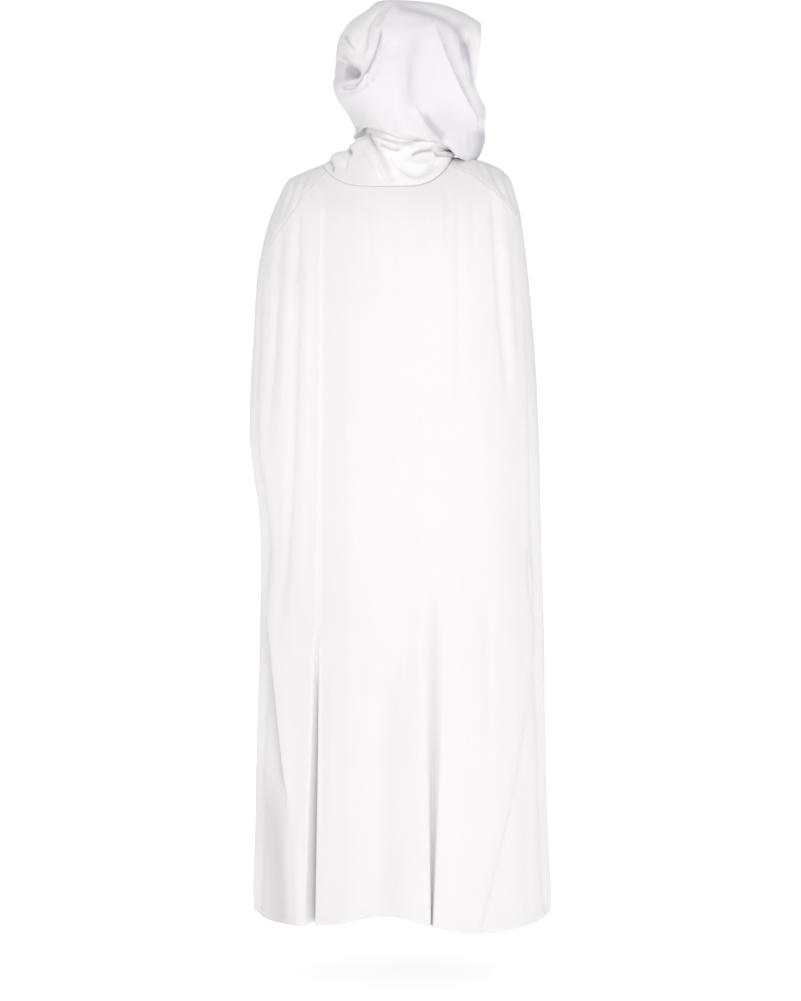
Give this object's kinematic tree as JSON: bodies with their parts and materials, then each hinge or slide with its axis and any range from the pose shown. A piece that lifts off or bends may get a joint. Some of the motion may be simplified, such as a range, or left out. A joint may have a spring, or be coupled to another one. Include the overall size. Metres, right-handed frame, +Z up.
{
  "type": "hooded cloak",
  "caption": "Long sleeveless hooded cloak of thin cloth, worn and open underneath: hood up and turned to one side, cape falling from the shoulders in soft pleats to a level hem.",
  "frame": {"origin": "middle of the base of the wearer's neck, where the shoulders hold the cloak", "axes": "+Z up, -Y the way the wearer's body faces, +X the wearer's left; the hood is turned with the head toward -X"},
  "size_m": [0.5521, 0.3513, 1.6451],
  "materials": {
    "cape_cloth": "matte satin weave",
    "hood_cloth": "matte satin weave"
  },
  "bodies": {
    "root": {"back": "cape_cloth", "front_left": "cape_cloth", "front_right": "cape_cloth", "hood_left": "hood_cloth", "hood_right": "hood_cloth"}
  },
  "joints": []
}
